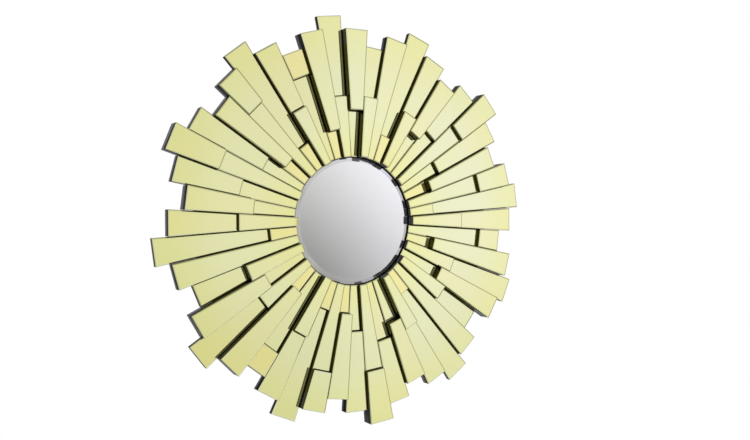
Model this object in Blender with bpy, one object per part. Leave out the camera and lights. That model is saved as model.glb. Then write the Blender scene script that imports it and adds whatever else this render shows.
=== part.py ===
"""Sunburst wall mirror, about a metre across, built at its real size.

Forty-eight wedge-shaped rays stand side by side round a bevelled centre mirror. Each ray is a pair
of black board blocks, end to end, faced with bevelled tinted mirror glass. The blocks come in three
heights and end at three radii, in a sixteen-ray layout that repeats three times round the ring. They
are glued to a round backing board, which carries two flush keyhole hanger plates.

The object hangs on a wall. +Z is up, +Y points into the wall and the glass faces -Y. The origin is
the centre of the backing board's back face, which lies against the wall.
"""

import math
from collections import namedtuple

import bmesh
import bpy
from mathutils import Matrix, Vector

# Sizes in metres, unless a name says otherwise.
BOARD_THICKNESS = 0.012
BOARD_OVERLAP = 0.029
GLUE_GAP = 0.0003

# Rays: the sectors that the layout repeats in, the gap between neighbours, where the rays start, and
# the glass bevel on each block's front.
SECTORS = 3
RAY_GAP = 0.0008
RAY_INNER_RADIUS = 0.157
TILE_BEVEL_WIDTH = 0.0028
TILE_BEVEL_DEPTH = 0.0008

# Three heights of block, from the board's front to the glass.
LOW = 0.015
MIDDLE = 0.0255
HIGH = 0.036

# Radii of the ray tips, and of the joints between inner and outer blocks.
LONG_TIP = 0.500
MEDIUM_TIP = 0.466
SHORT_TIP = 0.432
JOINT_1 = 0.226
JOINT_2 = 0.270
JOINT_3 = 0.305
JOINT_4 = 0.370

# Centre mirror and the disc of board that carries it.
CENTRE_GAP = 0.002
CENTRE_GLASS = 0.005
CENTRE_BEVEL_WIDTH = 0.009
CENTRE_BEVEL_DEPTH = 0.0015
CENTRE_DISC_THICKNESS = 0.006
CENTRE_DISC_INSET = 0.006

# Keyhole hanger plates, flush in the back of the board, and the hollow behind each for the screw's head.
HANGER_SPACING = 0.400
HANGER_HEIGHT = 0.200
PLATE_LENGTH = 0.060
PLATE_WIDTH = 0.022
PLATE_THICKNESS = 0.0015
PLATE_CLEARANCE = 0.0003
KEYHOLE_ENTRY_RADIUS = 0.0055
KEYHOLE_NECK_RADIUS = 0.0030
KEYHOLE_RISE = 0.012
HEAD_POCKET_DEPTH = 0.0050
HEAD_POCKET_MARGIN = 0.0015

DISC_SEGMENTS = 96
ARC_STEPS = 12
CRISP_ANGLE = math.radians(8)
FRONT = Vector((0, -1, 0))
WELD_DISTANCE = 1e-6

# One ray: the radius of its tip, the joint between its blocks, and the blocks' heights. A ray with no
# joint is one long block.
Ray = namedtuple("Ray", "tip joint outer inner")

# Sixteen rays, clockwise as seen from the front, starting at the top.
LAYOUT = (
    Ray(MEDIUM_TIP, JOINT_2, HIGH, LOW),
    Ray(SHORT_TIP, JOINT_3, LOW, HIGH),
    Ray(MEDIUM_TIP, None, MIDDLE, MIDDLE),
    Ray(LONG_TIP, JOINT_1, LOW, MIDDLE),
    Ray(MEDIUM_TIP, JOINT_3, MIDDLE, HIGH),
    Ray(SHORT_TIP, JOINT_2, HIGH, LOW),
    Ray(MEDIUM_TIP, JOINT_3, MIDDLE, LOW),
    Ray(LONG_TIP, JOINT_4, HIGH, MIDDLE),
    Ray(MEDIUM_TIP, JOINT_2, MIDDLE, LOW),
    Ray(SHORT_TIP, JOINT_1, HIGH, LOW),
    Ray(MEDIUM_TIP, JOINT_4, HIGH, MIDDLE),
    Ray(LONG_TIP, JOINT_1, LOW, MIDDLE),
    Ray(MEDIUM_TIP, JOINT_3, MIDDLE, HIGH),
    Ray(SHORT_TIP, JOINT_4, MIDDLE, LOW),
    Ray(MEDIUM_TIP, JOINT_1, HIGH, LOW),
    Ray(LONG_TIP, JOINT_3, LOW, MIDDLE),
)

# The board reaches past the outermost joint, to hold the blocks that start there.
BOARD_RADIUS = max(JOINT_1, JOINT_2, JOINT_3, JOINT_4) + BOARD_OVERLAP
CENTRE_RADIUS = RAY_INNER_RADIUS - CENTRE_GAP

# Where things stand, front to back: -Y is the front.
BLOCK_BACK = -(BOARD_THICKNESS + GLUE_GAP)
CENTRE_DISC_FRONT = BLOCK_BACK - CENTRE_DISC_THICKNESS
CENTRE_GLASS_BACK = CENTRE_DISC_FRONT - GLUE_GAP
RAY_COUNT = SECTORS * len(LAYOUT)
RAY_PITCH = 2 * math.pi / RAY_COUNT


def clear_scene():
    """Removes whatever the file opened with."""
    for obj in list(bpy.data.objects):
        bpy.data.objects.remove(obj)


def new_collection(name):
    """A collection linked to the scene."""
    collection = bpy.data.collections.new(name)
    bpy.context.scene.collection.children.link(collection)
    return collection


def finish_material(name, colour, roughness, metallic):
    """A plain Principled material."""
    material = bpy.data.materials.new(name)
    material.use_nodes = True
    shader = material.node_tree.nodes["Principled BSDF"]
    shader.inputs["Base Color"].default_value = (*colour, 1.0)
    shader.inputs["Roughness"].default_value = roughness
    shader.inputs["Metallic"].default_value = metallic
    return material


def mesh_from(bm, name):
    """Closes a bmesh into a mesh with its faces pointing out."""
    bmesh.ops.recalc_face_normals(bm, faces=bm.faces)
    mesh = bpy.data.meshes.new(name)
    bm.to_mesh(mesh)
    bm.free()
    return mesh


def place(name, mesh, material, collection, parent):
    """An object for a mesh, in its collection, with its material."""
    obj = bpy.data.objects.new(name, mesh)
    if not mesh.materials:
        mesh.materials.append(material)
    obj.parent = parent
    collection.objects.link(obj)
    return obj


def ray_half_width(radius):
    """Half the width of a ray at a radius: its share of the circle, less half the gap."""
    half = RAY_PITCH / 2
    return radius * math.tan(half) - RAY_GAP / 2 / math.cos(half)


def front_faces(bm):
    """The faces that look straight to the front."""
    bm.normal_update()
    return [face for face in bm.faces if face.normal.angle(FRONT) < CRISP_ANGLE]


def bevel_fronts(bm, width, depth):
    """Raises each front face inside a sloping border, as bevelled glass has."""
    bmesh.ops.inset_individual(
        bm, faces=front_faces(bm), thickness=width, depth=depth, use_even_offset=True
    )


def ray_mesh(ray, name):
    """One ray standing upright on its centre line: +Z runs outwards, -Y is the glass."""
    lower = min(ray.inner, ray.outer) - TILE_BEVEL_DEPTH
    bm = bmesh.new()
    bmesh.ops.create_cube(bm, size=1.0)
    for vert in bm.verts:
        radius = ray.tip if vert.co.z > 0 else RAY_INNER_RADIUS
        side = math.copysign(ray_half_width(radius), vert.co.x)
        front = lower if vert.co.y < 0 else 0.0
        vert.co = (side, BLOCK_BACK - front, radius)
    if ray.outer != ray.inner:
        bmesh.ops.bisect_plane(
            bm,
            geom=bm.verts[:] + bm.edges[:] + bm.faces[:],
            plane_co=(0, 0, ray.joint),
            plane_no=(0, 0, 1),
        )
        raise_block(bm, ray)
    bevel_fronts(bm, TILE_BEVEL_WIDTH, TILE_BEVEL_DEPTH)
    return mesh_from(bm, name)


def raise_block(bm, ray):
    """Pulls the taller block's front forward, which leaves the step at the joint."""
    outer_is_taller = ray.outer > ray.inner
    taller = [
        face
        for face in front_faces(bm)
        if (face.calc_center_median().z > ray.joint) == outer_is_taller
    ]
    pulled = bmesh.ops.extrude_face_region(bm, geom=taller)
    verts = [item for item in pulled["geom"] if isinstance(item, bmesh.types.BMVert)]
    bmesh.ops.translate(bm, verts=verts, vec=(0, -abs(ray.outer - ray.inner), 0))
    bmesh.ops.delete(bm, geom=taller, context="FACES_ONLY")


def build_rays(collection, parent, material):
    """The ring of rays: sixteen meshes, each used once in every sector."""
    meshes = [ray_mesh(ray, f"ray_mesh_{n + 1:02d}") for n, ray in enumerate(LAYOUT)]
    for number in range(RAY_COUNT):
        mesh = meshes[number % len(LAYOUT)]
        obj = place(f"ray_{number + 1:02d}", mesh, material, collection, parent)
        obj.rotation_euler.y = number * RAY_PITCH


def disc(radius, back, thickness):
    """A round plate that faces the front, its back face at y = back."""
    bm = bmesh.new()
    bmesh.ops.create_cone(
        bm,
        cap_ends=True,
        segments=DISC_SEGMENTS,
        radius1=radius,
        radius2=radius,
        depth=thickness,
    )
    turn = Matrix.Rotation(math.radians(90), 4, "X")
    move = Matrix.Translation((0, back - thickness / 2, 0))
    bmesh.ops.transform(bm, matrix=move @ turn, verts=bm.verts)
    return bm


def round_mesh(bm, name):
    """A round piece's mesh, shaded smooth round its rim and crisp at its edges."""
    mesh = mesh_from(bm, name)
    mesh.shade_smooth()
    mesh.set_sharp_from_angle(angle=CRISP_ANGLE)
    return mesh


def build_centre(collection, parent, board_black, silver):
    """The bevelled centre mirror on its own disc of board."""
    bm = disc(CENTRE_RADIUS - CENTRE_DISC_INSET, BLOCK_BACK, CENTRE_DISC_THICKNESS)
    carrier = round_mesh(bm, "centre_disc")
    place("centre_disc", carrier, board_black, collection, parent)
    bm = disc(CENTRE_RADIUS, CENTRE_GLASS_BACK, CENTRE_GLASS - CENTRE_BEVEL_DEPTH)
    bevel_fronts(bm, CENTRE_BEVEL_WIDTH, CENTRE_BEVEL_DEPTH)
    glass = round_mesh(bm, "centre_mirror")
    place("centre_mirror", glass, silver, collection, parent)


def arc(centre_z, radius, start, end):
    """Points (x, z) along an arc about a centre on the middle line, from start to end in degrees."""
    angles = [math.radians(start + (end - start) * n / ARC_STEPS) for n in range(ARC_STEPS + 1)]
    return [(radius * math.cos(angle), centre_z + radius * math.sin(angle)) for angle in angles]


def slot(low, high, radius):
    """An upright outline with straight sides and round ends, whose centres are at low and high."""
    return arc(high, radius, 0, 180) + arc(low, radius, 180, 360)


def keyhole():
    """A keyhole outline: a round entry at z = 0, with a neck rising from it to a round end."""
    corner = math.degrees(math.acos(KEYHOLE_NECK_RADIUS / KEYHOLE_ENTRY_RADIUS))
    entry = arc(0, KEYHOLE_ENTRY_RADIUS, 180 - corner, 360 + corner)
    return entry + arc(KEYHOLE_RISE, KEYHOLE_NECK_RADIUS, 0, 180)


def plate_outline(margin):
    """The hanger plate's outline, grown all round by a margin."""
    rise = (PLATE_LENGTH - PLATE_WIDTH) / 2
    return slot(-rise, rise, PLATE_WIDTH / 2 + margin)


def plate_object(name, outlines, thickness, collection):
    """A flat plate in the XZ plane, centred on y = 0: a filled curve with thickness, made a mesh."""
    curve = bpy.data.curves.new(name, "CURVE")
    curve.dimensions = "2D"
    curve.fill_mode = "BOTH"
    curve.extrude = thickness / 2
    for outline in outlines:
        spline = curve.splines.new("POLY")
        spline.points.add(len(outline) - 1)
        for point, (x, z) in zip(spline.points, outline):
            point.co = (x, z, 0, 1)
        spline.use_cyclic_u = True
    flat = bpy.data.objects.new(name + "_outline", curve)
    collection.objects.link(flat)
    graph = bpy.context.evaluated_depsgraph_get()
    mesh = bpy.data.meshes.new_from_object(flat.evaluated_get(graph))
    bpy.data.objects.remove(flat)
    bm = bmesh.new()
    bm.from_mesh(mesh)
    bpy.data.meshes.remove(mesh)
    bmesh.ops.remove_doubles(bm, verts=bm.verts, dist=WELD_DISTANCE)
    bmesh.ops.transform(bm, matrix=Matrix.Rotation(math.radians(90), 4, "X"), verts=bm.verts)
    obj = bpy.data.objects.new(name, mesh_from(bm, name))
    collection.objects.link(obj)
    return obj


def cut(target, cutter):
    """Subtracts a cutter from a solid, and keeps the cutter out of the part."""
    cutter.hide_render = True
    cutter.display_type = "WIRE"
    modifier = target.modifiers.new(cutter.name, "BOOLEAN")
    modifier.operation = "DIFFERENCE"
    modifier.solver = "EXACT"
    modifier.object = cutter


def build_board(collection, parent, material):
    """The round backing board."""
    mesh = round_mesh(disc(BOARD_RADIUS, 0, BOARD_THICKNESS), "backing_board")
    return place("backing_board", mesh, material, collection, parent)


def cut_hanger_seat(board, side, where, cutters):
    """Lets a hanger plate into the back of the board, with the hollow for the screw's head."""
    depth = PLATE_THICKNESS + 2 * PLATE_CLEARANCE
    seat = plate_object("seat_" + side, [plate_outline(PLATE_CLEARANCE)], 2 * depth, cutters)
    seat.location = where
    cut(board, seat)
    hollow = slot(0, KEYHOLE_RISE, KEYHOLE_ENTRY_RADIUS + HEAD_POCKET_MARGIN)
    depth += HEAD_POCKET_DEPTH
    pocket = plate_object("pocket_" + side, [hollow], 2 * depth, cutters)
    pocket.location = where
    cut(board, pocket)


def build_hanger(side, where, collection, parent, material):
    """A keyhole plate, flush in its seat."""
    outlines = [plate_outline(0), keyhole()]
    plate = plate_object("hanger_plate_" + side, outlines, PLATE_THICKNESS, collection)
    plate.data.materials.append(material)
    plate.location = where + Vector((0, -PLATE_CLEARANCE - PLATE_THICKNESS / 2, 0))
    plate.parent = parent


def main():
    """Builds the whole mirror."""
    clear_scene()
    parts = new_collection("sunburst_wall_mirror")
    cutters = new_collection("cutters")
    gold_glass = finish_material("gold_mirror", (0.80, 0.78, 0.45), 0.08, 1.0)
    silver = finish_material("silver_mirror", (0.78, 0.79, 0.80), 0.04, 1.0)
    board_black = finish_material("black_board", (0.02, 0.02, 0.022), 0.5, 0.0)
    steel = finish_material("zinc_steel", (0.60, 0.61, 0.63), 0.35, 1.0)
    centre = bpy.data.objects.new("wall_centre", None)
    parts.objects.link(centre)
    board = build_board(parts, centre, board_black)
    for side, sign in (("left", -1), ("right", 1)):
        where = Vector((sign * HANGER_SPACING / 2, 0, HANGER_HEIGHT))
        cut_hanger_seat(board, side, where, cutters)
        build_hanger(side, where, parts, centre, steel)
    build_centre(parts, centre, board_black, silver)
    build_rays(parts, centre, gold_glass)


main()
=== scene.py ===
"""Sunburst wall mirror: the look of every piece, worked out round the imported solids.

Sizes are in metres, in the solids' own frame: +Z is up, +Y points into the wall and the glass faces
-Y. The origin is the centre of the backing board's back face. Surfaces are worked out with numpy.
All but the screws are outlines in the XZ plane, carried from back to front along a profile that
insets them.
"""

import logging
import math
from collections.abc import Sequence
from dataclasses import dataclass, field
from enum import Enum

import bpy
import numpy as np
from mathutils import Matrix, Vector


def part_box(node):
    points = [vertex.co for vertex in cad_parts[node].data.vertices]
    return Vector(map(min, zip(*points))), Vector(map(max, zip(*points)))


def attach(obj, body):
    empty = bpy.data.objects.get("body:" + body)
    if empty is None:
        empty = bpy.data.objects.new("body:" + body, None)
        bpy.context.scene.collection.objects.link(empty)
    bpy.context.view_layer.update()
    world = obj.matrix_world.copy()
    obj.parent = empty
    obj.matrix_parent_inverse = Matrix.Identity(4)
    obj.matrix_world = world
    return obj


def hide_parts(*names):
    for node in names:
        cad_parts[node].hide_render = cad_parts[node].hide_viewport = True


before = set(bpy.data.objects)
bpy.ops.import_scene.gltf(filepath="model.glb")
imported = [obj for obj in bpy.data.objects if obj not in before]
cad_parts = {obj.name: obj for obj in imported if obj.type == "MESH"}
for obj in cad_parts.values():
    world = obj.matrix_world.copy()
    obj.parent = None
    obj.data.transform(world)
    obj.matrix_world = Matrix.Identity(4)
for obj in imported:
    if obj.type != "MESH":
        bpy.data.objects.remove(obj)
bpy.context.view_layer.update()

BODY = "root"
LOG = logging.getLogger("wall_mirror")

Colour = tuple[float, float, float]
Stop = tuple[float, Colour]
Socket = bpy.types.NodeSocket
Given = Socket | float | Colour

WHITE: Colour = (1.0, 1.0, 1.0)
# How far in the middle of a rounded edge lies, as a share of the rounding's reach.
EASE_STEP = 0.3
# A Mix node's factor and colours share their names with other sockets of the node, so they are told
# by number.
MIX_INPUTS = (0, 6, 7)
MIX_OUTPUT = 2


class Height(Enum):
    """How far a block's glass stands in front of the backing board."""

    LOW = 0.015
    MIDDLE = 0.0255
    HIGH = 0.036


class Tip(Enum):
    """How far a ray reaches from the centre."""

    SHORT = 0.432
    MEDIUM = 0.466
    LONG = 0.500


class Joint(Enum):
    """Where a ray's inner block ends and its outer block starts."""

    FIRST = 0.226
    SECOND = 0.270
    THIRD = 0.305
    FOURTH = 0.370


class End(Enum):
    """One of the two blocks of a ray."""

    INNER = "inner"
    OUTER = "outer"


class Slot(Enum):
    """The record's material slots."""

    GOLD = "gold_mirror"
    SILVER = "silver_mirror"
    BOARD = "black_board"
    STEEL = "zinc_steel"


class Crisp(Enum):
    """Which edges stay crisp: those that turn more than this many degrees."""

    BOARD = 40.0
    TILE = 8.0
    MIRROR = 5.0
    NONE = 180.0


class Rise(Enum):
    """How a value runs between two places."""

    EVEN = "LINEAR"
    SMOOTH = "SMOOTHSTEP"


@dataclass(frozen=True)
class RayPlan:
    """One ray of the layout.

    A ray with no joint is one long block. The tile at the amber end, if there is one, is of a
    yellower glass.
    """

    tip: Tip
    joint: Joint | None
    outer: Height
    inner: Height
    amber: End | None = None


# Sixteen rays, clockwise as seen from the front, starting at the top. They repeat in each sector.
LAYOUT = (
    RayPlan(Tip.MEDIUM, Joint.SECOND, Height.HIGH, Height.LOW),
    RayPlan(Tip.SHORT, Joint.THIRD, Height.LOW, Height.HIGH),
    RayPlan(Tip.MEDIUM, None, Height.MIDDLE, Height.MIDDLE),
    RayPlan(Tip.LONG, Joint.FIRST, Height.LOW, Height.MIDDLE, End.INNER),
    RayPlan(Tip.MEDIUM, Joint.THIRD, Height.MIDDLE, Height.HIGH),
    RayPlan(Tip.SHORT, Joint.SECOND, Height.HIGH, Height.LOW),
    RayPlan(Tip.MEDIUM, Joint.THIRD, Height.MIDDLE, Height.LOW),
    RayPlan(Tip.LONG, Joint.FOURTH, Height.HIGH, Height.MIDDLE),
    RayPlan(Tip.MEDIUM, Joint.SECOND, Height.MIDDLE, Height.LOW),
    RayPlan(Tip.SHORT, Joint.FIRST, Height.HIGH, Height.LOW, End.INNER),
    RayPlan(Tip.MEDIUM, Joint.FOURTH, Height.HIGH, Height.MIDDLE),
    RayPlan(Tip.LONG, Joint.FIRST, Height.LOW, Height.MIDDLE, End.INNER),
    RayPlan(Tip.MEDIUM, Joint.THIRD, Height.MIDDLE, Height.HIGH),
    RayPlan(Tip.SHORT, Joint.FOURTH, Height.MIDDLE, Height.LOW, End.OUTER),
    RayPlan(Tip.MEDIUM, Joint.FIRST, Height.HIGH, Height.LOW, End.INNER),
    RayPlan(Tip.LONG, Joint.THIRD, Height.LOW, Height.MIDDLE),
)


# Surfaces


@dataclass(frozen=True)
class Outline:
    """A closed outline in the XZ plane, anticlockwise as seen from the front.

    points holds x and z of each point, and slides how far it moves, in x and z, for each metre that
    the outline is inset.
    """

    points: np.ndarray
    slides: np.ndarray


@dataclass(frozen=True)
class Surface:
    """A closed surface: its vertices, its faces, and the number of each face's finish."""

    verts: np.ndarray
    faces: list[list[int]]
    finish: list[int]


def unit(angle: np.ndarray) -> np.ndarray:
    """The points (cos u, sin u) of the angles u."""
    return np.stack([np.cos(angle), np.sin(angle)], axis=-1)


def rounded_polygon(corners: Sequence[tuple[float, float]], radius: float, steps: int) -> Outline:
    """A convex polygon with rounded corners.

    With a and b the inward normals of the edges that meet at a corner, an inset moves it by
    (a + b) / (1 + a.b). The arc's centre is the corner inset by the radius, and its points lie a
    radius from there, at angles that run evenly from -a to -b.

    Args:
        corners: The corners, anticlockwise as seen from the front.
        radius: The corners' radius.
        steps: Steps in each corner's arc.

    Returns:
        The outline.
    """
    corner = np.array(corners)
    along = np.roll(corner, -1, axis=0) - corner
    along /= np.linalg.norm(along, axis=1, keepdims=True)
    after = np.column_stack([-along[:, 1], along[:, 0]])
    before = np.roll(after, 1, axis=0)
    slide = (before + after) / (1 + np.sum(before * after, axis=1, keepdims=True))
    start = np.arctan2(-before[:, 1], -before[:, 0])
    turn = (np.arctan2(-after[:, 1], -after[:, 0]) - start) % math.tau
    angle = start[:, None] + turn[:, None] * np.linspace(0, 1, steps + 1)
    ring = unit(angle) * radius
    points = (corner + slide * radius)[:, None, :] + ring
    slides = np.repeat(slide, steps + 1, axis=0)
    return Outline(points.reshape(-1, 2), slides)


def circle(radius: float, segments: int, centre: tuple[float, float] = (0.0, 0.0)) -> Outline:
    """A circle: centre + radius (cos u, sin u), which an inset moves straight to its centre.

    Args:
        radius: The circle's radius.
        segments: Its segments.
        centre: x and z of its centre.

    Returns:
        The outline.
    """
    angle = np.arange(segments) * math.tau / segments
    ring = unit(angle)
    return Outline(np.array(centre) + ring * radius, -ring)


def keyhole(entry: float, neck: float, rise: float, steps: int) -> Outline:
    """A keyhole: a circle round the origin, and a neck that rises from it to a round end.

    The circle is entry (cos u, sin u), with u from 180 - c round to 360 + c degrees and
    c = acos(neck / entry), where the neck's sides meet it. The end is neck (cos u, sin u) raised by
    the rise, with u from 0 to 180. An inset moves each point straight to its own arc's centre. With
    entry and neck the same, it is an upright slot.

    Args:
        entry: The circle's radius.
        neck: Half the neck's width.
        rise: Height of the round end's centre.
        steps: Steps in each arc.

    Returns:
        The outline.
    """
    corner = math.acos(neck / entry)
    low = unit(np.linspace(math.pi - corner, math.tau + corner, steps + 1))
    high = unit(np.linspace(0, math.pi, steps + 1))
    points = np.concatenate([low * entry, high * neck + np.array([0.0, rise])])
    return Outline(points, -np.concatenate([low, high]))


def moved(outline: Outline, x: float, z: float) -> Outline:
    """The same outline in another place."""
    return Outline(outline.points + np.array([x, z]), outline.slides)


def eased(rear: float, front: float, ease: float) -> list[tuple[float, float]]:
    """The profile of a board with both its edges rounded, in two steps each.

    Args:
        rear: y of its back.
        front: y of its front.
        ease: How far the rounding reaches.

    Returns:
        Inset and y of each level, the back first.
    """
    step = EASE_STEP * ease
    return [
        (ease, rear),
        (step, rear - step),
        (0.0, rear - ease),
        (0.0, front + ease),
        (step, front + step),
        (ease, front),
    ]


def bands(count: int, rings: int) -> np.ndarray:
    """The quads between rings of vertices that follow each other.

    Args:
        count: Vertices in a ring.
        rings: How many rings there are.

    Returns:
        The numbers of each quad's corners, a row for each quad.
    """
    here = np.arange(count)
    beyond = np.roll(here, -1)
    level = np.arange(rings - 1)[:, None] * count
    corners = (level + here, level + beyond, level + beyond + count, level + here + count)
    return np.stack(corners, axis=-1).reshape(-1, 4)


def loft(
    outline: Outline, profile: Sequence[tuple[float, float]], finish: Sequence[int]
) -> Surface:
    """An outline carried from back to front along a profile, and closed at both ends.

    P(u, v) = outline(u) + slide(u) inset(v), at y(v).

    Args:
        outline: The outline.
        profile: Inset and y of each level, the back first.
        finish: Number of the finish of each band between two levels, then of the front. The back
            takes the first band's.

    Returns:
        The closed surface, its faces pointing out.
    """
    inset, y = np.array(profile).T
    count = len(outline.points)
    flat = outline.points[None] + outline.slides[None] * inset[:, None, None]
    depth = np.broadcast_to(y[:, None], flat.shape[:2])
    verts = np.stack([flat[..., 0], depth, flat[..., 1]], axis=-1).reshape(-1, 3)
    rear = np.arange(count)
    front = rear + (len(y) - 1) * count
    faces = bands(count, len(y)).tolist() + [rear[::-1].tolist(), front.tolist()]
    numbers = np.repeat(finish[: len(y) - 1], count).tolist() + [finish[0], finish[-1]]
    return Surface(verts, faces, numbers)


def plain(outline: Outline, profile: Sequence[tuple[float, float]]) -> Surface:
    """A lofted surface that is all of one finish."""
    return loft(outline, profile, [0] * len(profile))


def joined(surfaces: Sequence[Surface]) -> Surface:
    """Several closed surfaces as one.

    Args:
        surfaces: The surfaces, whose finish numbers mean the same.

    Returns:
        The one surface.
    """
    offsets = np.cumsum([0] + [len(surface.verts) for surface in surfaces])
    faces = [
        [corner + int(offset) for corner in face]
        for surface, offset in zip(surfaces, offsets)
        for face in surface.faces
    ]
    numbers = [number for surface in surfaces for number in surface.finish]
    return Surface(np.concatenate([surface.verts for surface in surfaces]), faces, numbers)


def turned(surface: Surface, matrix: Matrix) -> Surface:
    """The surface with a matrix applied to its vertices."""
    square = np.array(matrix)
    return Surface(surface.verts @ square[:3, :3].T + square[:3, 3], surface.faces, surface.finish)


# Materials


@dataclass
class Nodes:
    """A node tree that is filled in code: each method adds a node or a link."""

    tree: bpy.types.NodeTree

    def add(self, kind: str, **values: object) -> bpy.types.Node:
        """Adds a node.

        Args:
            kind: Blender's name for its kind.
            **values: What its properties are set to.

        Returns:
            The node.
        """
        node = self.tree.nodes.new(kind)
        for name, value in values.items():
            setattr(node, name, value)
        return node

    def link(self, source: Socket, target: Socket) -> None:
        """Links one socket to another."""
        self.tree.links.new(source, target)

    def feed(self, target: Socket, value: Given) -> None:
        """Gives a socket what it reads.

        Args:
            target: The socket.
            value: Another socket to link to it, or its constant, a number or a colour.
        """
        if isinstance(value, Socket):
            self.link(value, target)
        elif isinstance(value, tuple):
            target.default_value = (*value, 1.0)
        else:
            target.default_value = value

    def mix(self, factor: Socket | float, low: Given, high: Given, blend: str = "MIX") -> Socket:
        """Mixes two colours.

        Args:
            factor: 0 for the first colour and 1 for the second.
            low: The first colour.
            high: The second colour.
            blend: Blender's name for how they mix.

        Returns:
            The mixed colour's socket.
        """
        node = self.add("ShaderNodeMix", data_type="RGBA", blend_type=blend)
        for number, value in zip(MIX_INPUTS, (factor, low, high)):
            self.feed(node.inputs[number], value)
        return node.outputs[MIX_OUTPUT]

    def product(self, first: Given, second: Given) -> Socket:
        """The product of two colours, or of a colour and a mask."""
        return self.mix(1.0, first, second, "MULTIPLY")

    def rise(
        self,
        value: Socket,
        start: float,
        end: float,
        how: Rise = Rise.SMOOTH,
        onto: tuple[float, float] = (0.0, 1.0),
    ) -> Socket:
        """A value that runs from one number to another between two places, and holds beyond them.

        Args:
            value: Socket with the value that start and end are places on.
            start: Where it has the first number. It may be above the end.
            end: Where it has the second.
            how: How it runs between them.
            onto: The two numbers.

        Returns:
            The new value's socket.
        """
        node = self.add("ShaderNodeMapRange", interpolation_type=how.value)
        names = ("Value", "From Min", "From Max", "To Min", "To Max")
        for name, given in zip(names, (value, start, end, *onto)):
            self.feed(node.inputs[name], given)
        return node.outputs["Result"]

    def steps(self, value: Socket, stops: Sequence[Stop]) -> Socket:
        """A colour that runs smoothly from stop to stop.

        Args:
            value: Socket with the value that the stops are places on.
            stops: The stops, the lowest first.

        Returns:
            The colour's socket.
        """
        low, high = stops[0][0], stops[-1][0]
        node = self.add("ShaderNodeValToRGB")
        node.color_ramp.interpolation = "EASE"
        elements = node.color_ramp.elements
        elements.remove(elements[1])
        elements[0].position = 0.0
        elements[0].color = (*stops[0][1], 1.0)
        for at, colour in stops[1:]:
            elements.new((at - low) / (high - low)).color = (*colour, 1.0)
        self.link(self.rise(value, low, high, Rise.EVEN), node.inputs["Fac"])
        return node.outputs["Color"]

    def math(self, operation: str, first: Socket, second: Socket | float = 0.0) -> Socket:
        """A Math node's result.

        Args:
            operation: Blender's name for what it does.
            first: Socket with the first value.
            second: The second value, where the operation has one.

        Returns:
            The result's socket.
        """
        node = self.add("ShaderNodeMath", operation=operation)
        self.link(first, node.inputs[0])
        self.feed(node.inputs[1], second)
        return node.outputs[0]

    def length(self, first: Socket, second: Socket) -> Socket:
        """The root of the sum of two values' squares."""
        squares = [self.math("MULTIPLY", value, value) for value in (first, second)]
        return self.math("SQRT", self.math("ADD", *squares))

    def place(self, kind: str) -> bpy.types.bpy_prop_collection:
        """The place that is being shaded.

        Args:
            kind: Blender's name for the coordinates.

        Returns:
            The sockets of its X, Y and Z.
        """
        split = self.add("ShaderNodeSeparateXYZ")
        self.link(self.add("ShaderNodeTexCoord").outputs[kind], split.inputs["Vector"])
        return split.outputs

    def radius(self) -> Socket:
        """Distance from the object's Y axis, the length of x and z."""
        place = self.place("Object")
        return self.length(place["X"], place["Z"])


class SurfaceGrain:
    """Node group: unevenness of a surface, from the object's own coordinates.

    It puts out a broad, cloudy mask, and a normal that a fine grain raises.
    """

    NAME = "surface_grain"
    INPUTS = (("Cloud Scale", 10.0), ("Grain Scale", 800.0), ("Depth", 0.00002), ("Stretch", 1.0))
    OUTPUTS = (("Cloud", "NodeSocketFloat"), ("Normal", "NodeSocketVector"))
    CLOUD_DETAIL = 3.0
    GRAIN_DETAIL = 4.0

    @classmethod
    def tree(cls) -> bpy.types.NodeTree:
        """The group, built once."""
        return bpy.data.node_groups.get(cls.NAME) or cls._build()

    @classmethod
    def _build(cls) -> bpy.types.NodeTree:
        """Builds the group.

        Returns:
            The group.
        """
        group = bpy.data.node_groups.new(cls.NAME, "ShaderNodeTree")
        face = group.interface
        for name, default in cls.INPUTS:
            socket = face.new_socket(name, in_out="INPUT", socket_type="NodeSocketFloat")
            socket.default_value = default
        for name, kind in cls.OUTPUTS:
            face.new_socket(name, in_out="OUTPUT", socket_type=kind)
        nodes = Nodes(group)
        given = nodes.add("NodeGroupInput").outputs
        out = nodes.add("NodeGroupOutput").inputs
        place = nodes.add("ShaderNodeTexCoord").outputs["Object"]
        stretch = nodes.add("ShaderNodeCombineXYZ")
        for axis, scale in (("X", 1.0), ("Y", 1.0), ("Z", given["Stretch"])):
            nodes.feed(stretch.inputs[axis], scale)
        scaled = nodes.add("ShaderNodeMapping")
        nodes.link(place, scaled.inputs["Vector"])
        nodes.link(stretch.outputs["Vector"], scaled.inputs["Scale"])
        noises = []
        for name, where, detail in (
            ("Cloud Scale", place, cls.CLOUD_DETAIL),
            ("Grain Scale", scaled.outputs["Vector"], cls.GRAIN_DETAIL),
        ):
            noise = nodes.add("ShaderNodeTexNoise")
            for socket, value in (("Vector", where), ("Scale", given[name]), ("Detail", detail)):
                nodes.feed(noise.inputs[socket], value)
            noises.append(noise.outputs["Fac"])
        cloud, grain = noises
        bump = nodes.add("ShaderNodeBump")
        nodes.link(given["Depth"], bump.inputs["Distance"])
        nodes.link(grain, bump.inputs["Height"])
        nodes.link(cloud, out["Cloud"])
        nodes.link(bump.outputs["Normal"], out["Normal"])
        return group


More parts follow.
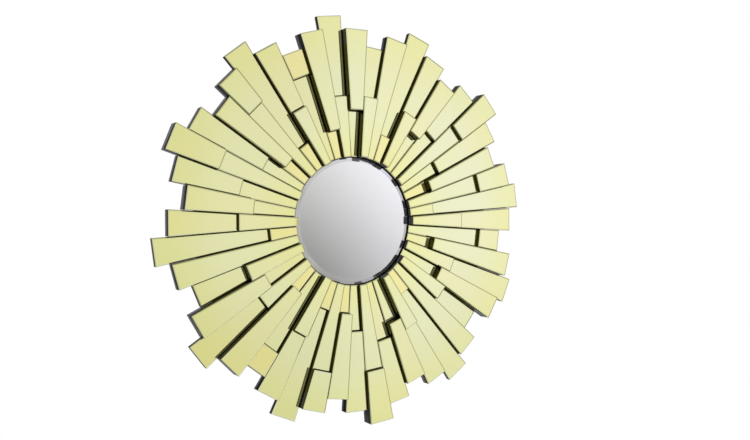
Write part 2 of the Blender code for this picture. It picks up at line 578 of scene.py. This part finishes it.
@dataclass(frozen=True)
class Finish:
    """What every finish has: a name, and how its surface is uneven.

    cloud_scale and grain_scale are in features a metre, depth in metres, and stretch above 1 draws
    the grain out sideways.
    """

    name: str
    roughness: tuple[float, float]
    cloud_scale: float
    grain_scale: float
    depth: float
    stretch: float = 1.0

    def material(self) -> bpy.types.Material:
        """The finish's material, built once."""
        return bpy.data.materials.get(self.name) or self._build()

    def base_colour(self, nodes: Nodes, cloud: Socket) -> Socket:
        """The colour that this kind of finish has, given the cloudy mask."""
        raise NotImplementedError

    def constants(self) -> dict[str, float | Colour]:
        """What this kind of finish sets on its shader's sockets."""
        raise NotImplementedError

    def _build(self) -> bpy.types.Material:
        """Builds the material, with its grain on its roughness and normal.

        Returns:
            The material.
        """
        material = bpy.data.materials.new(self.name)
        material.use_nodes = True
        nodes = Nodes(material.node_tree)
        shader = material.node_tree.nodes["Principled BSDF"].inputs
        grain = nodes.add("ShaderNodeGroup", node_tree=SurfaceGrain.tree())
        scales = (self.cloud_scale, self.grain_scale, self.depth, self.stretch)
        for (name, _), value in zip(SurfaceGrain.INPUTS, scales):
            grain.inputs[name].default_value = value
        cloud = grain.outputs["Cloud"]
        rough = nodes.rise(cloud, 0.0, 1.0, Rise.EVEN, self.roughness)
        nodes.link(rough, shader["Roughness"])
        nodes.link(grain.outputs["Normal"], shader["Normal"])
        nodes.link(self.base_colour(nodes, cloud), shader["Base Color"])
        for name, value in self.constants().items():
            nodes.feed(shader[name], value)
        return material


@dataclass(frozen=True, kw_only=True)
class MirrorFinish(Finish):
    """Silvered glass: a metallic reflection in the glass's tint, under a clear untinted surface.

    tint and other_tint are the two ends that a tile's tone runs between. deepening multiplies them
    away from pale_radius, a painted reflection that deepens the tint towards both ends of the rays:
    not yet at pale_reach from it, and fully from deep_reach on. cloud_tint is what a cloud leaves
    of the tint. haze is the share of the tint that shows without reflecting, coat the strength of
    the clear surface, and veil its roughness.
    """

    tint: Colour
    other_tint: Colour
    # A painted reflection that deepens the tint by radius.
    painted_reflection_deepening: Colour = WHITE
    pale_radius: float = 0.31
    pale_reach: float = 0.03
    deep_reach: float = 0.17
    cloud_tint: float = 0.97
    haze: float = 0.03
    veil: float = 0.2
    coat: float = 1.0

    def base_colour(self, nodes: Nodes, cloud: Socket) -> Socket:
        """The tile's own tint, clouded, and deepened by a painted reflection.

        Args:
            nodes: The material's nodes.
            cloud: Socket with the cloudy mask.

        Returns:
            The colour's socket.
        """
        tone = nodes.add("ShaderNodeAttribute", attribute_name="tone")
        tinted = nodes.mix(tone.outputs["Fac"], self.tint, self.other_tint)
        # Painted reflection: the tint deepens away from the pale radius, towards both ends of the
        # rays.
        reflection_deepened = nodes.mix(self.painted_reflection_mask(nodes), WHITE, self.painted_reflection_deepening)
        clouded = nodes.mix(cloud, WHITE, (self.cloud_tint,) * 3)
        return nodes.product(nodes.product(tinted, reflection_deepened), clouded)

    def constants(self) -> dict[str, float | Colour]:
        """What the reflection and the clear surface set on the shader's sockets."""
        coat = {"Coat Weight": self.coat, "Coat Roughness": self.veil}
        return {"Metallic": 1 - self.haze, **coat}

    def painted_reflection_mask(self, nodes: Nodes) -> Socket:
        """Where the painted reflection deepens the tint: 0 at the pale radius, rising smoothly to 1
        away from it, inwards and outwards.
        """
        away = nodes.math("ABSOLUTE", nodes.math("SUBTRACT", nodes.radius(), self.pale_radius))
        return nodes.rise(away, self.pale_reach, self.deep_reach)


@dataclass(frozen=True, kw_only=True)
class PaintFinish(Finish):
    """Painted or plated board and metal: one colour, clouded towards another.

    shine is the strength of its gloss, and glint the gloss's tint.
    """

    colour: Colour
    worn: Colour
    metallic: float = 0.0
    shine: float = 0.5
    glint: Colour = WHITE

    def base_colour(self, nodes: Nodes, cloud: Socket) -> Socket:
        """The colour, clouded towards the worn one."""
        return nodes.mix(cloud, self.colour, self.worn)

    def constants(self) -> dict[str, float | Colour]:
        """What the metal and the gloss set on the shader's sockets."""
        gloss = {"Specular IOR Level": self.shine, "Specular Tint": self.glint}
        return {"Metallic": self.metallic, **gloss}


@dataclass(frozen=True, kw_only=True)
class SidePaintAndReflection(PaintFinish):
    """Gloss black paint on the blocks' sides, with a painted reflection of the gold tiles
    that makes them browner between the tiles than at a ray's two ends.

    between is the brown of that painted reflection. It comes in over a fade outwards from the start
    radius, and goes out over as much inwards from the end radius.
    """

    # The brown of a painted reflection of the gold tiles on the sides between them.
    between: Colour = (0.042, 0.038, 0.001)
    start: float = 0.159
    end: float = 0.431
    fade: float = 0.006

    def base_colour(self, nodes: Nodes, cloud: Socket) -> Socket:
        """The clouded colour at a ray's ends, and the painted brown tile reflection between them.

        Args:
            nodes: The material's nodes.
            cloud: Socket with the cloudy mask.

        Returns:
            The colour's socket.
        """
        radius = nodes.radius()
        inner = nodes.rise(radius, self.start, self.start + self.fade)
        outer = nodes.rise(radius, self.end, self.end - self.fade)
        ends = super().base_colour(nodes, cloud)
        # Painted reflection of the gold tiles: brown on the sides between the ray's two ends.
        return nodes.mix(nodes.math("MULTIPLY", inner, outer), ends, self.between)


GLASS = dict(roughness=(0.015, 0.03), cloud_scale=6.0, grain_scale=18.0, depth=0.00002)
GROUND = dict(roughness=(0.35, 0.5), cloud_scale=60.0, grain_scale=400.0, depth=0.00002, shine=0.3)
GLOSS = dict(roughness=(0.10, 0.18), cloud_scale=25.0, grain_scale=900.0, depth=0.00003)
SATIN = dict(roughness=(0.38, 0.55), cloud_scale=25.0, grain_scale=900.0, depth=0.00006)
BRUSHED = dict(
    roughness=(0.28, 0.42), cloud_scale=180.0, grain_scale=500.0, depth=0.00003, stretch=12.0
)
CHALKY = dict(roughness=(0.75, 0.85), cloud_scale=2.0, grain_scale=60.0, depth=0.0001)

CHAMPAGNE = MirrorFinish(
    "champagne_glass",
    **GLASS,
    tint=(0.90, 0.885, 0.46),
    other_tint=(0.885, 0.90, 0.53),
    # Painted reflection: deeper yellow towards the rays' inner and outer ends.
    painted_reflection_deepening=(1.0, 0.99, 0.77),
)
CHAMPAGNE_BEVEL = MirrorFinish(
    "champagne_glass_bevel", **GLASS, tint=(0.80, 0.82, 0.46), other_tint=(0.80, 0.84, 0.50)
)
CHAMPAGNE_EDGE = PaintFinish(
    "champagne_glass_edge",
    **GROUND,
    colour=(0.080, 0.075, 0.020),
    worn=(0.11, 0.10, 0.028),
    metallic=0.6,
    glint=(1.0, 0.95, 0.45),
)
AMBER = MirrorFinish(
    "amber_glass", **GLASS, tint=(0.93, 0.875, 0.36), other_tint=(0.96, 0.885, 0.38)
)
AMBER_BEVEL = MirrorFinish(
    "amber_glass_bevel", **GLASS, tint=(0.86, 0.82, 0.42), other_tint=(0.87, 0.83, 0.44)
)
SILVER = MirrorFinish(
    "silver_glass", **GLASS, tint=(0.905, 0.905, 0.89), other_tint=(0.905, 0.905, 0.89), haze=0.02
)
SILVER_BEVEL = MirrorFinish(
    "silver_glass_bevel",
    **{**GLASS, "roughness": (0.09, 0.12)},
    tint=(0.73, 0.73, 0.74),
    other_tint=(0.73, 0.73, 0.74),
    haze=0.02,
)
SILVER_EDGE = PaintFinish(
    "silver_glass_edge", **GROUND, colour=(0.008, 0.010, 0.008), worn=(0.014, 0.018, 0.015)
)
BLOCK_PAINT = PaintFinish(
    "black_block_paint",
    **GLOSS,
    colour=(0.013, 0.011, 0.006),
    worn=(0.020, 0.017, 0.010),
    metallic=0.2,
    glint=(1.0, 0.95, 0.75),
)
# Its brown between the tiles is a painted reflection of the gold tiles.
SIDE_PAINT_AND_REFLECTION = SidePaintAndReflection(
    "black_side_paint_and_tile_reflection",
    **GLOSS,
    colour=(0.045, 0.044, 0.050),
    worn=(0.055, 0.054, 0.062),
    metallic=1.0,
)
BOARD_PAINT = PaintFinish(
    "black_board_paint", **SATIN, colour=(0.018, 0.018, 0.019), worn=(0.032, 0.032, 0.034)
)
ZINC = PaintFinish(
    "zinc_plate", **BRUSHED, colour=(0.58, 0.59, 0.60), worn=(0.70, 0.70, 0.68), metallic=1.0
)
FLOOR_PAINT = PaintFinish(
    "pale_floor", **CHALKY, colour=(0.90, 0.90, 0.90), worn=(0.88, 0.88, 0.88)
)


# Pieces


def make_piece(
    name: str,
    surface: Surface,
    finishes: Sequence[Finish],
    crisp: Crisp,
    tones: np.ndarray | None = None,
) -> bpy.types.Object:
    """Puts a surface into an object at the origin.

    Args:
        name: The piece's name.
        surface: Its surface, in place.
        finishes: The finishes that its numbers stand for.
        crisp: Which of its edges stay crisp.
        tones: A value for each vertex, which mirror finishes read as "tone".

    Returns:
        The object.
    """
    mesh = bpy.data.meshes.new(name)
    mesh.from_pydata(surface.verts.tolist(), [], surface.faces)
    for finish in finishes:
        mesh.materials.append(finish.material())
    mesh.polygons.foreach_set("material_index", surface.finish)
    mesh.shade_smooth()
    mesh.set_sharp_from_angle(angle=math.radians(crisp.value))
    if tones is not None:
        tone = mesh.attributes.new("tone", "FLOAT", "POINT")
        tone.data.foreach_set("value", tones.astype(np.float32))
    mesh.validate()
    piece = bpy.data.objects.new(name, mesh)
    bpy.context.scene.collection.objects.link(piece)
    return piece


def carved(piece: bpy.types.Object, cutters: Sequence[Surface], crisp: Crisp) -> None:
    """Cuts closed surfaces out of a piece, for good.

    Args:
        piece: The piece.
        cutters: The surfaces to cut out.
        crisp: Which of its edges stay crisp.
    """
    tools = [
        make_piece(f"{piece.name}_cut_{number}", cutter, [], Crisp.NONE)
        for number, cutter in enumerate(cutters)
    ]
    for tool in tools:
        modifier = piece.modifiers.new(tool.name, "BOOLEAN")
        modifier.operation = "DIFFERENCE"
        modifier.solver = "EXACT"
        modifier.object = tool
    graph = bpy.context.evaluated_depsgraph_get()
    mesh = bpy.data.meshes.new_from_object(piece.evaluated_get(graph))
    piece.modifiers.clear()
    piece.data = mesh
    mesh.shade_smooth()
    mesh.set_sharp_from_angle(angle=math.radians(crisp.value))
    for tool in tools:
        bpy.data.objects.remove(tool)


def finished(piece: bpy.types.Object, kind: Slot, *nodes: str) -> None:
    """A piece rides on the one body, and the nodes that it stands for are hidden.

    Args:
        piece: The piece.
        kind: The record's slot for the piece. Not used.
        *nodes: The nodes that it stands for.
    """
    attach(piece, BODY)
    if nodes:
        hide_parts(*nodes)
    stands_for = ", ".join(nodes) or "itself"
    LOG.info("%s: %d faces, for %s", piece.name, len(piece.data.polygons), stands_for)


# The object


@dataclass(frozen=True)
class Span:
    """One block of a ray: its end, its inner and outer radius, and its height, glass included."""

    end: End
    low: float
    high: float
    height: float


@dataclass
class Sunburst:
    """The ring of rays: black blocks in three heights, each faced with a bevelled mirror tile.

    The layout repeats in every sector, but the amber tiles of pale_rays are champagne. back is y of
    the blocks' backs.
    """

    sectors: int = 3
    gap: float = 0.0008
    inner_radius: float = 0.157
    glass: float = 0.003
    bevel_width: float = 0.0028
    bevel_depth: float = 0.0008
    arris: float = 0.0003
    seam: float = 0.0005
    corner: float = 0.0004
    corner_steps: int = 6
    tile_overhang: float = 0.0003
    glue: float = 0.0002
    settle: float = 0.0002
    tilt_deg: float = 0.05
    block_ease: float = 0.0006
    joint_line: float = 0.0001
    seed: int = 7
    pale_rays: tuple[int, ...] = (12, 14, 15)
    back: float = field(default_factory=lambda: float(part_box("ray_01")[1][1]))

    def count(self) -> int:
        """How many rays there are."""
        return self.sectors * len(LAYOUT)

    def wedge(self, span: Span, inset: float) -> Outline:
        """A block's outline, upright on the middle line, grown smaller by an inset.

        A ray's half width at radius r is r tan(h) - gap / (2 cos(h)), with h half the pitch.

        Args:
            span: The block's two radii.
            inset: How far the outline stays inside those.

        Returns:
            The outline.
        """
        half = math.pi / self.count()
        across = self.gap / 2 + inset
        ends = (span.low + inset, span.high - inset)
        wide = [end * math.tan(half) - across / math.cos(half) for end in ends]
        corners = [(-wide[0], ends[0]), (wide[0], ends[0]), (wide[1], ends[1]), (-wide[1], ends[1])]
        return rounded_polygon(corners, self.corner, self.corner_steps)

    def spans(self, plan: RayPlan) -> list[Span]:
        """The blocks of a ray, the inner one first.

        Args:
            plan: The ray.

        Returns:
            Its one or two blocks.
        """
        end = (plan.joint or plan.tip).value
        spans = [Span(End.INNER, self.inner_radius, end, plan.inner.value)]
        if plan.joint:
            spans.append(Span(End.OUTER, end, plan.tip.value, plan.outer.value))
        return spans

    def block(self, span: Span) -> Surface:
        """A block of board with eased edges, upright on the middle line.

        Args:
            span: The block's radii and height.

        Returns:
            The block's surface: finish 0 on its sides and front, and 1 on its back.
        """
        front = self.back - span.height + self.glass + self.glue + self.settle
        profile = eased(self.back, front, self.block_ease)
        return loft(self.wedge(span, self.tile_overhang), profile, [1, 1, 0, 0, 0, 0])

    def tile(self, span: Span, tilt: Matrix) -> Surface:
        """A bevelled tile, upright on the middle line and settled at a slight tilt.

        Args:
            span: The block's radii and height.
            tilt: The tile's turn about its own middle.

        Returns:
            The tile's surface: finish 0 on the mirror, 1 on its bevel and 2 on the ground edge.
        """
        front = self.back - span.height + self.settle
        rear = front + self.glass
        profile = [
            (self.arris, rear),
            (0.0, rear - self.arris),
            (0.0, front + self.bevel_depth + self.seam / 2),
            (self.seam, front + self.bevel_depth),
            (self.bevel_width, front),
        ]
        middle = Matrix.Translation((0, front, (span.low + span.high) / 2))
        outline = self.wedge(span, self.joint_line / 2)
        return turned(loft(outline, profile, [2, 2, 2, 1, 0]), middle @ tilt @ middle.inverted())

    def build_ray(self, number: int, random: np.random.Generator) -> None:
        """Builds one ray's blocks and its tiles.

        Args:
            number: The ray's number, clockwise from the top, from 1.
            random: Where the tiles' tones and tilts come from.
        """
        plan = LAYOUT[(number - 1) % len(LAYOUT)]
        node = f"ray_{number:02d}"
        place = Matrix.Rotation((number - 1) * math.tau / self.count(), 4, "Y")
        spans = self.spans(plan)
        body = joined([self.block(span) for span in spans])
        paints = [SIDE_PAINT_AND_REFLECTION, BLOCK_PAINT]
        piece = make_piece(f"{node}_blocks", turned(body, place), paints, Crisp.BOARD)
        finished(piece, Slot.BOARD, node)
        for span in spans:
            tip, twist = np.radians(random.uniform(-self.tilt_deg, self.tilt_deg, 2))
            tilt = Matrix.Rotation(tip, 4, "X") @ Matrix.Rotation(twist, 4, "Z")
            surface = turned(self.tile(span, tilt), place)
            amber = plan.amber is span.end and number not in self.pale_rays
            tones = np.full(len(surface.verts), random.uniform(0, 1))
            name = f"{node}_{span.end.value}_tile"
            pair = (AMBER, AMBER_BEVEL) if amber else (CHAMPAGNE, CHAMPAGNE_BEVEL)
            tile = make_piece(name, surface, [*pair, CHAMPAGNE_EDGE], Crisp.TILE, tones)
            finished(tile, Slot.GOLD, node)

    def build(self) -> None:
        """Builds every ray."""
        random = np.random.default_rng(self.seed)
        for number in range(1, self.count() + 1):
            self.build_ray(number, random)


def round_size(node: str) -> tuple[float, float, float]:
    """y of a round node's front and of its rear, and its radius."""
    low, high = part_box(node)
    return low[1], high[1], high[0]


@dataclass
class CentreMirror:
    """The round bevelled mirror in the middle, on its own disc of board."""

    bevel_width: float = 0.009
    bevel_depth: float = 0.0015
    arris: float = 0.0004
    ease: float = 0.0006
    segments: int = 240

    def build(self) -> None:
        """Builds the mirror and the disc, at the size and place of their nodes."""
        front, rear, radius = round_size("centre_mirror")
        profile = [
            (self.arris, rear),
            (0.0, rear - self.arris),
            (0.0, front + self.bevel_depth),
            (self.bevel_width, front),
        ]
        surface = loft(circle(radius, self.segments), profile, [2, 2, 1, 0])
        glasses = [SILVER, SILVER_BEVEL, SILVER_EDGE]
        tones = np.zeros(len(surface.verts))
        piece = make_piece("centre_mirror_glass", surface, glasses, Crisp.MIRROR, tones)
        finished(piece, Slot.SILVER, "centre_mirror")
        front, rear, radius = round_size("centre_disc")
        ease = self.ease
        profile = [(ease, rear), (0.0, rear - ease), (0.0, front + ease), (ease, front)]
        surface = plain(circle(radius, self.segments), profile)
        piece = make_piece("centre_mirror_disc", surface, [BLOCK_PAINT], Crisp.BOARD)
        finished(piece, Slot.BOARD, "centre_disc")


@dataclass
class Backing:
    """The round backing board, with two keyhole plates let into its back and their screws."""

    PLATES = ("hanger_plate_left", "hanger_plate_right")

    ease: float = 0.0012
    segments: int = 240
    clearance: float = 0.0003
    plate_ease: float = 0.0003
    entry: float = 0.0055
    neck: float = 0.0030
    rise: float = 0.012
    pocket_margin: float = 0.0015
    pocket_depth: float = 0.0050
    screw_offset: float = 0.0235
    screw_radius: float = 0.0033
    screw_height: float = 0.0018
    screw_taper: float = 0.5
    screw_segments: int = 96
    screw_rings: int = 24
    recess_radius: float = 0.0019
    recess_width: float = 0.0009
    recess_depth: float = 0.0010
    steps: int = 24

    def middle(self, node: str) -> tuple[float, float]:
        """x and z of a hanger plate's middle."""
        low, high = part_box(node)
        return (low[0] + high[0]) / 2, (low[2] + high[2]) / 2

    def plate_outline(self, node: str, margin: float) -> Outline:
        """A hanger plate's outline in place.

        Args:
            node: The plate's node.
            margin: How far the outline is grown all round.

        Returns:
            The outline.
        """
        low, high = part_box(node)
        radius = (high[0] - low[0]) / 2
        rise = high[2] - low[2] - 2 * radius
        end = radius + margin
        return moved(keyhole(end, end, rise, self.steps), self.middle(node)[0], low[2] + radius)

    def prism(self, outline: Outline, rear: float, front: float) -> Surface:
        """A straight-sided cutter between two depths."""
        return plain(outline, [(0.0, rear), (0.0, front)])

    def build_board(self) -> None:
        """Builds the board and cuts the plates' seats and the hollows behind their keyholes."""
        front, rear, radius = round_size("backing_board")
        ease = self.ease
        surface = plain(circle(radius, self.segments), eased(rear, front, ease))
        board = make_piece("round_backing_board", surface, [BOARD_PAINT], Crisp.BOARD)
        cutters = []
        for node in self.PLATES:
            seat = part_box(node)[0][1] - self.clearance
            cutters.append(self.prism(self.plate_outline(node, self.clearance), ease, seat))
            wide = self.entry + self.pocket_margin
            hollow = moved(keyhole(wide, wide, self.rise, self.steps), *self.middle(node))
            cutters.append(self.prism(hollow, 2 * ease, seat - self.pocket_depth))
        carved(board, cutters, Crisp.BOARD)
        finished(board, Slot.BOARD, "backing_board")

    def build_plate(self, node: str) -> None:
        """Builds one keyhole plate, countersunk for its two screws, and the screws.

        Args:
            node: The plate's node.
        """
        low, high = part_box(node)
        front, rear = low[1], high[1]
        ease = self.plate_ease
        profile = [(ease, rear), (0.0, rear - ease), (0.0, front)]
        surface = plain(self.plate_outline(node, 0.0), profile)
        plate = make_piece(node.replace("hanger", "keyhole"), surface, [ZINC], Crisp.BOARD)
        x, z = self.middle(node)
        hole = moved(keyhole(self.entry, self.neck, self.rise, self.steps), x, z)
        cutters = [self.prism(hole, ease, front - ease)]
        screws = (("lower", z - self.screw_offset), ("upper", z + self.screw_offset))
        for _, height in screws:
            rim = circle(self.screw_radius + ease, self.steps, (x, height))
            cone = [(-ease, rear + ease), (self.screw_radius * self.screw_taper, front - ease)]
            cutters.append(plain(rim, cone))
        carved(plate, cutters, Crisp.BOARD)
        finished(plate, Slot.STEEL, node)
        for name, height in screws:
            surface = self.screw(x, height, rear)
            screw = make_piece(f"{node}_{name}_screw", surface, [ZINC], Crisp.BOARD)
            finished(screw, Slot.STEEL)

    def screw(self, x: float, z: float, rear: float) -> Surface:
        """A countersunk screw head with a cross recess.

        The top is a polar grid: y = rear - depth c(r, u). c is 0 outside the cross, and rises to 1
        over a quarter of the recess's width inside its border. The cross is where the smaller of
        |r cos u| and |r sin u| is under half that width and r is under the recess's radius.

        Args:
            x: Of the screw's middle.
            z: Of the screw's middle.
            rear: y of the head's flat.

        Returns:
            The head's surface.
        """
        around, rings = self.screw_segments, self.screw_rings
        angle = np.arange(around) * math.tau / around
        radius = np.linspace(self.screw_radius, self.screw_radius / rings, rings)
        ring = unit(angle)
        flat = radius[:, None, None] * ring[None]
        arm = np.min(np.abs(flat), axis=-1) - self.recess_width / 2
        reach = radius[:, None] - self.recess_radius
        slope = self.recess_width / 4
        cut = np.clip(-np.maximum(arm, reach) / slope, 0, 1)
        top = rear - self.recess_depth * cut
        cone = ring[None] * self.screw_radius * self.screw_taper
        shape = np.concatenate([cone, flat])
        depth = np.concatenate([np.full((1, around), rear - self.screw_height), top])
        verts = np.stack([shape[..., 0] + x, depth, shape[..., 1] + z], axis=-1).reshape(-1, 3)
        faces = bands(around, rings + 1)[:, [0, 3, 2, 1]].tolist()
        first = np.arange(around)
        faces += [first.tolist(), (first[::-1] + rings * around).tolist()]
        return Surface(verts, faces, [0] * len(faces))

    def build(self) -> None:
        """Builds the board, the plates and the screws."""
        self.build_board()
        for node in self.PLATES:
            self.build_plate(node)


# The studio


def heading(azimuth_deg: float, elevation_deg: float) -> Vector:
    """The direction at an azimuth, 0 in front of the mirror and positive to its right.

    Args:
        azimuth_deg: The azimuth.
        elevation_deg: The elevation above level.

    Returns:
        The direction, one metre long.
    """
    around, over = math.radians(azimuth_deg), math.radians(elevation_deg)
    level = math.cos(over)
    return Vector((math.sin(around) * level, -math.cos(around) * level, math.sin(over)))


def facing(away: Vector, roll_deg: float = 0.0) -> Matrix:
    """The turn that sets an object's own Z along a direction, upright and then rolled about it."""
    rolled = Matrix.Rotation(math.radians(roll_deg), 3, "Z")
    return (away.to_track_quat("Z", "Y").to_matrix() @ rolled).to_4x4()


@dataclass(frozen=True)
class PhotoCamera:
    """The camera: it looks at a point on the front of the middle blocks, from the left.

    azimuth_deg is 0 straight in front and negative to the left, and roll_deg turns the camera about
    its view.
    """

    azimuth_deg: float = -29.04
    elevation_deg: float = 0.47
    roll_deg: float = -0.31
    distance: float = 2.266
    aim: tuple[float, float, float] = (0.0529, -0.0378, 0.0020)
    lens: float = 44.09
    sensor: float = 36.0

    def build(self) -> None:
        """Builds the camera and makes it the scene's."""
        back = heading(self.azimuth_deg, self.elevation_deg)
        data = bpy.data.cameras.new("camera")
        data.lens = self.lens
        data.sensor_width = self.sensor
        camera = bpy.data.objects.new("camera", data)
        place = Matrix.Translation(Vector(self.aim) + back * self.distance)
        camera.matrix_world = place @ facing(back, self.roll_deg)
        bpy.context.scene.collection.objects.link(camera)
        bpy.context.scene.camera = camera


@dataclass(frozen=True)
class Softbox:
    """A square lamp that looks at the middle of the mirror."""

    name: str
    azimuth_deg: float
    elevation_deg: float
    power: float
    distance: float = 3.0
    size: float = 1.6

    def build(self) -> None:
        """Builds the lamp."""
        away = heading(self.azimuth_deg, self.elevation_deg)
        data = bpy.data.lights.new(self.name, "AREA")
        data.shape = "SQUARE"
        data.size = self.size
        data.energy = self.power
        lamp = bpy.data.objects.new(self.name, data)
        lamp.matrix_world = Matrix.Translation(away * self.distance) @ facing(away)
        lamp.visible_glossy = False
        bpy.context.scene.collection.objects.link(lamp)


LAMPS = (
    Softbox("key_right", azimuth_deg=48.0, elevation_deg=24.0, power=60.0),
    Softbox("fill_left", azimuth_deg=-70.0, elevation_deg=12.0, power=20.0),
)

# The surround's brightness and tint by the direction's azimuth in degrees, 0 in front of the mirror
# and positive to its right. The white wall behind is the same at both ends.
AROUND: tuple[Stop, ...] = (
    (-180.0, (0.42, 0.42, 0.44)),
    (-166.0, (0.48, 0.48, 0.53)),
    (-140.0, (0.24, 0.24, 0.27)),
    (-125.0, (0.40, 0.40, 0.44)),
    (-80.0, (0.60, 0.60, 0.62)),
    (-48.0, (1.00, 0.98, 0.92)),
    (-36.0, (0.84, 0.82, 0.80)),
    (-28.0, (0.74, 0.72, 0.76)),
    (-20.0, (0.80, 0.79, 0.78)),
    (-14.0, (0.87, 0.86, 0.82)),
    (2.0, (0.84, 0.83, 0.79)),
    (6.5, (0.58, 0.58, 0.60)),
    (11.0, (0.80, 0.80, 0.76)),
    (15.0, (0.81, 0.81, 0.77)),
    (22.0, (0.88, 0.88, 0.85)),
    (30.0, (1.00, 1.00, 1.05)),
    (36.0, (0.98, 0.98, 1.14)),
    (42.0, (0.98, 0.97, 1.12)),
    (48.0, (0.74, 0.71, 0.72)),
    (60.0, (0.64, 0.60, 0.46)),
    (80.0, (0.58, 0.55, 0.46)),
    (125.0, (0.40, 0.40, 0.42)),
    (180.0, (0.42, 0.42, 0.44)),
)
# The same by its elevation in degrees.
UPWARD: tuple[Stop, ...] = (
    (-90.0, (0.60, 0.60, 0.60)),
    (-34.0, (0.54, 0.52, 0.42)),
    (-22.0, (0.50, 0.50, 0.48)),
    (-11.0, (0.87, 0.87, 0.83)),
    (0.0, (1.00, 1.00, 1.00)),
    (10.0, (0.94, 0.94, 0.98)),
    (20.0, (0.96, 0.96, 0.97)),
    (32.0, (0.63, 0.60, 0.46)),
    (52.0, (0.80, 0.79, 0.74)),
    (90.0, (1.80, 1.80, 1.76)),
)


@dataclass(frozen=True)
class GreyCard:
    """An oval card that takes light from part of the surround, most of it towards one point.

    middle and dark are the azimuth and elevation of the oval and of the dark point, and half_size
    is half the oval's width and height. Its rim fades over edge, a share of those. What it takes
    grows evenly, from nothing at dark_reach from the dark point to depth at dark_core from it. All
    are in degrees but edge and depth.
    """

    middle: tuple[float, float] = (27.6, -0.49)
    half_size: tuple[float, float] = (3.37, 3.82)
    edge: float = 0.02
    dark: tuple[float, float] = (14.2, -15.4)
    dark_core: float = 15.0
    dark_reach: float = 23.4
    depth: float = 0.8

    def light(self, nodes: Nodes, direction: tuple[Socket, Socket]) -> Socket:
        """How much light the card leaves.

        Args:
            nodes: The surround's nodes.
            direction: Sockets with the direction's azimuth and elevation.

        Returns:
            Socket with 1 away from the card.
        """
        dark = self.away(nodes, direction, self.dark, (1.0, 1.0))
        out = self.away(nodes, direction, self.middle, self.half_size)
        shade = nodes.rise(dark, self.dark_reach, self.dark_core, Rise.EVEN)
        inside = nodes.rise(out, 1.0, 1 - self.edge)
        taken = nodes.math("MULTIPLY", nodes.math("MULTIPLY", shade, inside), -self.depth)
        return nodes.math("ADD", taken, 1.0)

    @staticmethod
    def away(
        nodes: Nodes,
        direction: tuple[Socket, Socket],
        middle: tuple[float, float],
        size: tuple[float, float],
    ) -> Socket:
        """Distance from a middle: the length of both offsets, each divided by its size.

        Args:
            nodes: The surround's nodes.
            direction: Sockets with the direction's azimuth and elevation.
            middle: The middle's azimuth and elevation.
            size: What is one away, across and upwards.

        Returns:
            The distance's socket.
        """
        offsets = [
            nodes.math("DIVIDE", nodes.math("SUBTRACT", value, centre), one)
            for value, centre, one in zip(direction, middle, size)
        ]
        return nodes.length(*offsets)


# The card that the centre mirror reflects, and two behind the wall's plane, which darken the outer
# sides of the top and bottom rays.
CARDS = (
    GreyCard(),
    *(
        GreyCard(
            middle=(-151.0, side * 16.0),
            half_size=(24.0, 13.0),
            edge=0.5,
            dark=(-151.0, side * 16.0),
            dark_core=6.0,
            dark_reach=16.0,
            depth=0.5,
        )
        for side in (-1, 1)
    ),
)


@dataclass
class Studio:
    """A plain pale floor in a soft white room, with what the mirrors reflect."""

    floor_height: float = -1.6
    floor_radius: float = 3.2
    floor_thickness: float = 0.02
    floor_segments: int = 128

    def build_world(self) -> None:
        """Builds the surround: white to the camera, and graded for what the mirrors reflect."""
        world = bpy.data.worlds.new("studio")
        bpy.context.scene.world = world
        world.use_nodes = True
        nodes = Nodes(world.node_tree)
        background = world.node_tree.nodes["Background"]
        place = nodes.place("Generated")
        ahead = nodes.math("MULTIPLY", place["Y"], -1.0)
        azimuth = nodes.math("DEGREES", nodes.math("ARCTAN2", place["X"], ahead))
        elevation = nodes.math("DEGREES", nodes.math("ARCSINE", place["Z"]))
        room = nodes.product(nodes.steps(azimuth, AROUND), nodes.steps(elevation, UPWARD))
        for card in CARDS:
            room = nodes.product(room, card.light(nodes, (azimuth, elevation)))
        seen = nodes.add("ShaderNodeLightPath")
        colour = nodes.mix(seen.outputs["Is Camera Ray"], room, WHITE)
        nodes.link(colour, background.inputs["Color"])
        background.inputs["Strength"].default_value = 1.0

    def build_floor(self) -> None:
        """Builds the floor, a wide disc well below the mirror."""
        across = circle(self.floor_radius, self.floor_segments)
        disc = plain(across, [(0.0, 0.0), (0.0, -self.floor_thickness)])
        flat = Matrix.Rotation(math.radians(-90), 4, "X")
        lying = Matrix.Translation((0, 0, self.floor_height)) @ flat
        floor = make_piece("studio_floor", turned(disc, lying), [FLOOR_PAINT], Crisp.BOARD)

    def build(self) -> None:
        """Builds the surround, the lamps, the floor and the camera."""
        self.build_world()
        self.build_floor()
        for lamp in LAMPS:
            lamp.build()
        PhotoCamera().build()
        bpy.context.scene.view_settings.view_transform = "Standard"


def main() -> None:
    """Builds the studio and the object's three sub-assemblies."""
    logging.basicConfig(level=logging.INFO, format="%(message)s")
    Studio().build()
    for part in (Backing(), CentreMirror(), Sunburst()):
        LOG.info("Building %s", type(part).__name__)
        part.build()


if __name__ == "__main__":
    main()
